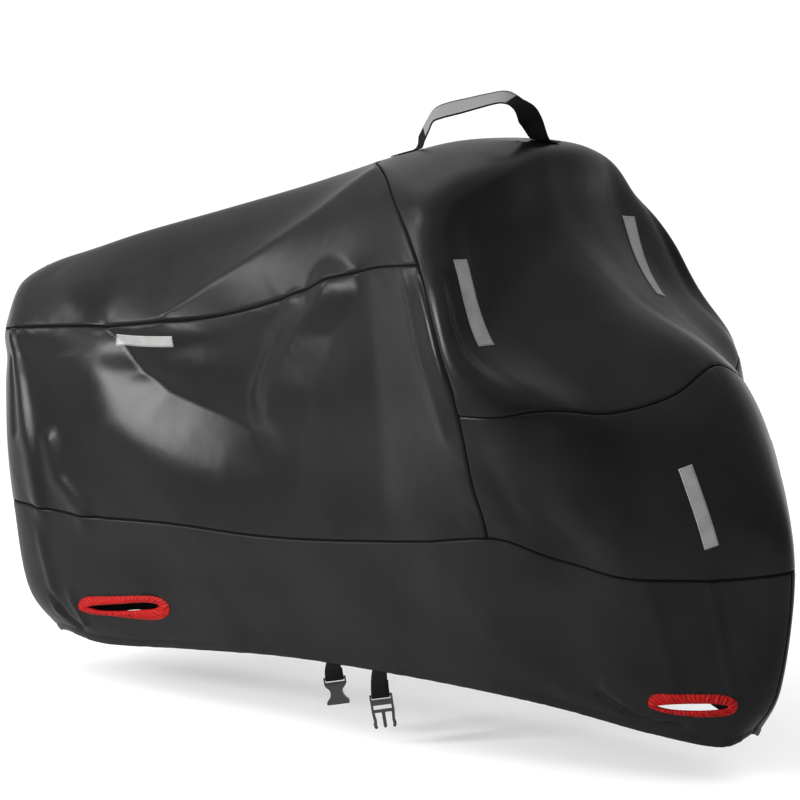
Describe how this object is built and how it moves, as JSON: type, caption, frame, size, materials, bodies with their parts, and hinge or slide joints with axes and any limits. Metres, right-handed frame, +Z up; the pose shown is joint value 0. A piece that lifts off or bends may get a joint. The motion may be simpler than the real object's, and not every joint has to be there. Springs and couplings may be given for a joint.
{
  "type": "fitted motorcycle cover",
  "caption": "Fitted draped cloth cover, hollow and open below, with panels, reflective tapes, lock holes, a carry handle and belly straps.",
  "frame": {"origin": "point just under the inner face of the crown, on the middle plane, where the machine's highest point carries the cloth", "axes": "+X towards the nose, +Y towards the left-hand side, +Z up"},
  "size_m": [2.121, 0.9535, 1.4116],
  "materials": {
    "oxford_cloth": "coated oxford cloth with a soft sheen",
    "reflective_tape": "grey retro-reflective sewn tape",
    "red_binding": "gathered red cloth binding",
    "black_webbing": "woven black webbing",
    "buckle_plastic": "moulded black plastic"
  },
  "bodies": {
    "root": {"saddle_panel": "oxford_cloth", "screen_panel": "oxford_cloth", "fairing_panel": "oxford_cloth", "right_side_panel": "oxford_cloth", "left_side_panel": "oxford_cloth", "right_rear_tape": "reflective_tape", "right_screen_tape": "reflective_tape", "right_fairing_tape": "reflective_tape", "left_rear_tape": "reflective_tape", "left_screen_tape": "reflective_tape", "left_fairing_tape": "reflective_tape", "right_rear_lock_binding": "red_binding", "right_front_lock_binding": "red_binding", "right_skirt_panel": "oxford_cloth", "left_rear_lock_binding": "red_binding", "left_front_lock_binding": "red_binding", "left_skirt_panel": "oxford_cloth", "handle_webbing": "black_webbing", "handle_tape": "reflective_tape", "socket_strap": "black_webbing", "buckle_socket": "buckle_plastic", "plug_strap": "black_webbing", "buckle_plug": "buckle_plastic"}
  },
  "joints": []
}
